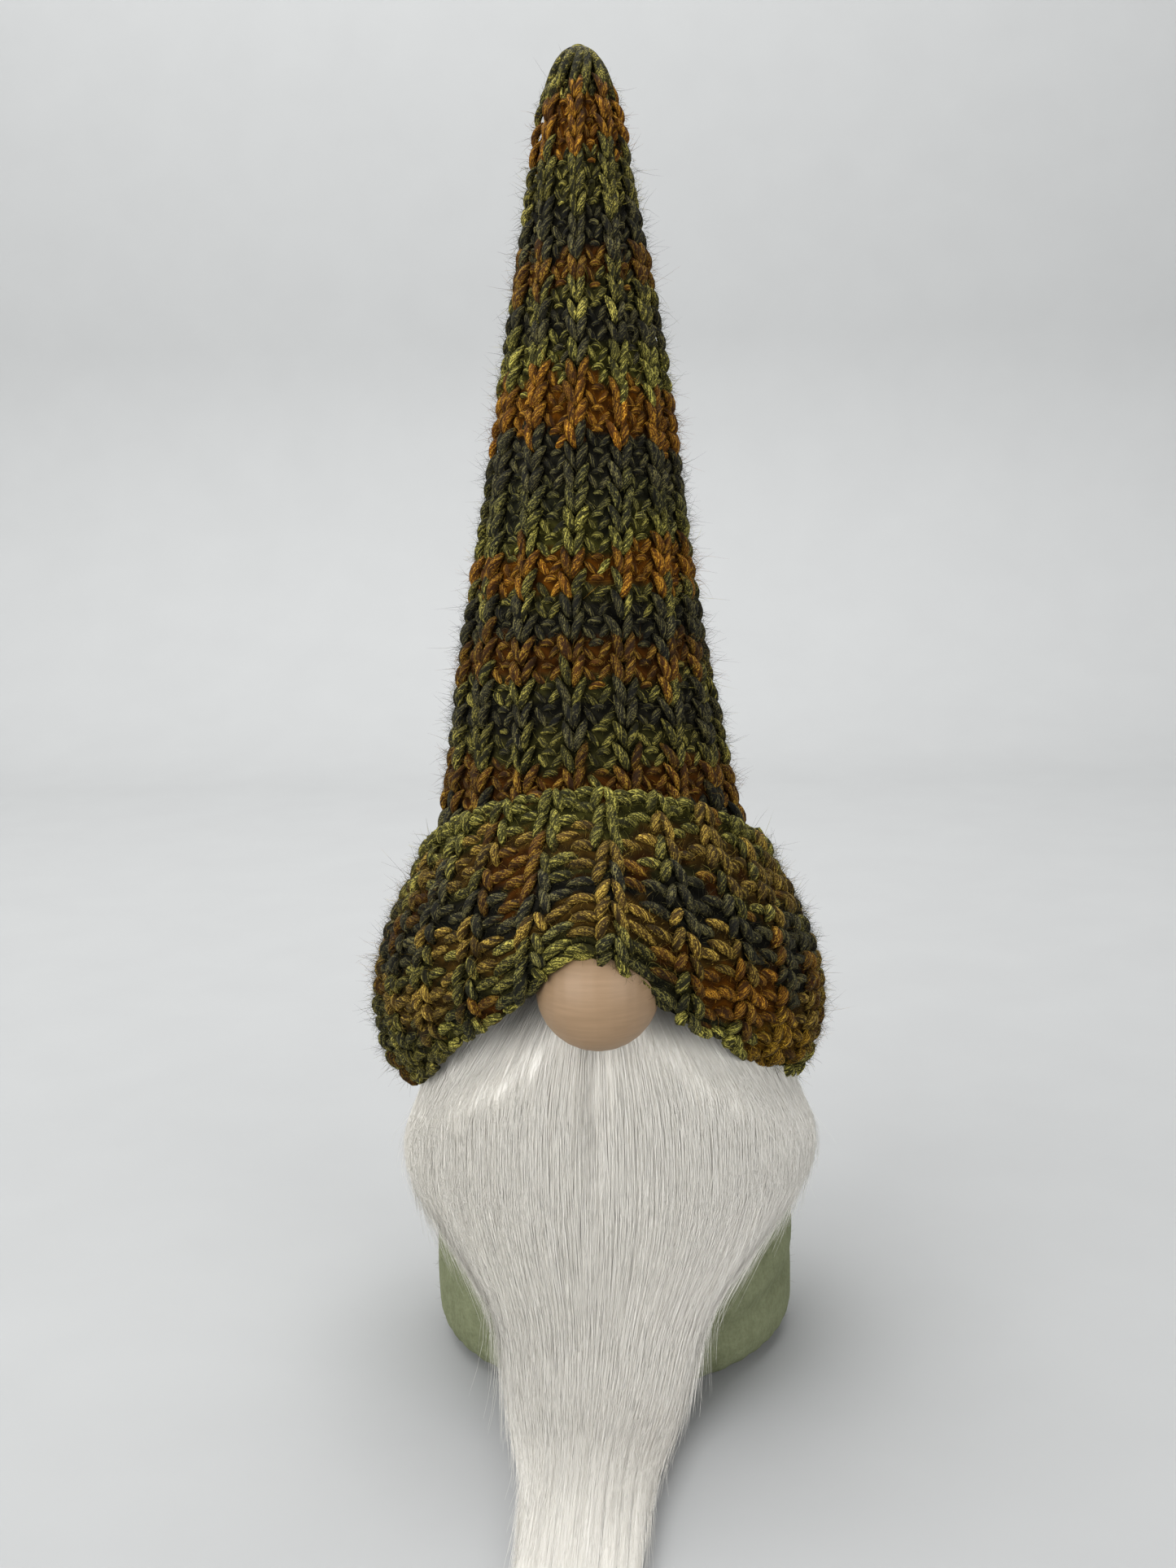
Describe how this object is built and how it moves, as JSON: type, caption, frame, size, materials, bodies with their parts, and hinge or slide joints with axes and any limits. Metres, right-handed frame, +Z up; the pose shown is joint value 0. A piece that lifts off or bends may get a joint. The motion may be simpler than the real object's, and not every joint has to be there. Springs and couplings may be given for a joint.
{
  "type": "tomte gnome figurine",
  "caption": "Standing tomte gnome: weighted fleece body, long white faux-fur beard, wooden ball nose and a tall stuffed knitted hat with a turned-up cuff.",
  "frame": {"origin": "centre of the underside of the base, on the surface the figure stands on", "axes": "+Z up, -Y the way the gnome faces, +X to the right as it is looked at from the front"},
  "size_m": [0.122, 0.207, 0.3468],
  "materials": {
    "sage_fleece": "brushed polyester fleece, sage green",
    "card": "plain grey-brown card",
    "sewing_thread": "polyester sewing thread",
    "muslin": "unbleached muslin bag filled with pellets",
    "fibrefill": "white polyester wadding",
    "hot_glue": "set hot-melt glue",
    "fur_backing": "knitted backing of the fur",
    "faux_fur": "long straight white pile",
    "beech": "sanded, unvarnished",
    "knitted_wool": "hand-knitted variegated yarn in olive, moss, rust and ochre"
  },
  "bodies": {
    "root": {"body_fleece": "sage_fleece", "base_fleece": "sage_fleece", "base_stiffener": "card", "base_seam_thread": "sewing_thread", "pellet_bag": "muslin", "body_fibrefill": "fibrefill", "neck_tie": "sewing_thread", "beard_glue": "hot_glue", "beard_backing": "fur_backing", "beard_pile_upper": "faux_fur", "nose_glue": "hot_glue", "nose_bead": "beech"},
    "beard": {"beard_backing_flap": "fur_backing", "beard_pile_lower": "faux_fur"},
    "hat": {"hat_cuff": "knitted_wool", "hat_crown_lower": "knitted_wool", "hat_fibrefill_lower": "fibrefill"},
    "hat_tip": {"hat_crown_upper": "knitted_wool", "hat_fibrefill_upper": "fibrefill", "hat_tip_thread": "knitted_wool"}
  },
  "joints": [
    {"name": "hat_lift", "type": "slide", "parent": "root", "child": "hat", "axis": [0, 0, 1], "range_m": [0, 0.12]},
    {"name": "hat_tip_bend", "type": "hinge", "parent": "hat", "child": "hat_tip", "pos_m": [-0.002, 0.02049, 0.24121], "axis": [0, 1, 0], "range_deg": [-30, 30]},
    {"name": "beard_lift", "type": "hinge", "parent": "root", "child": "beard", "pos_m": [0, -0.0588, 0.084], "axis": [-1, 0, 0], "range_deg": [0, 45]}
  ]
}
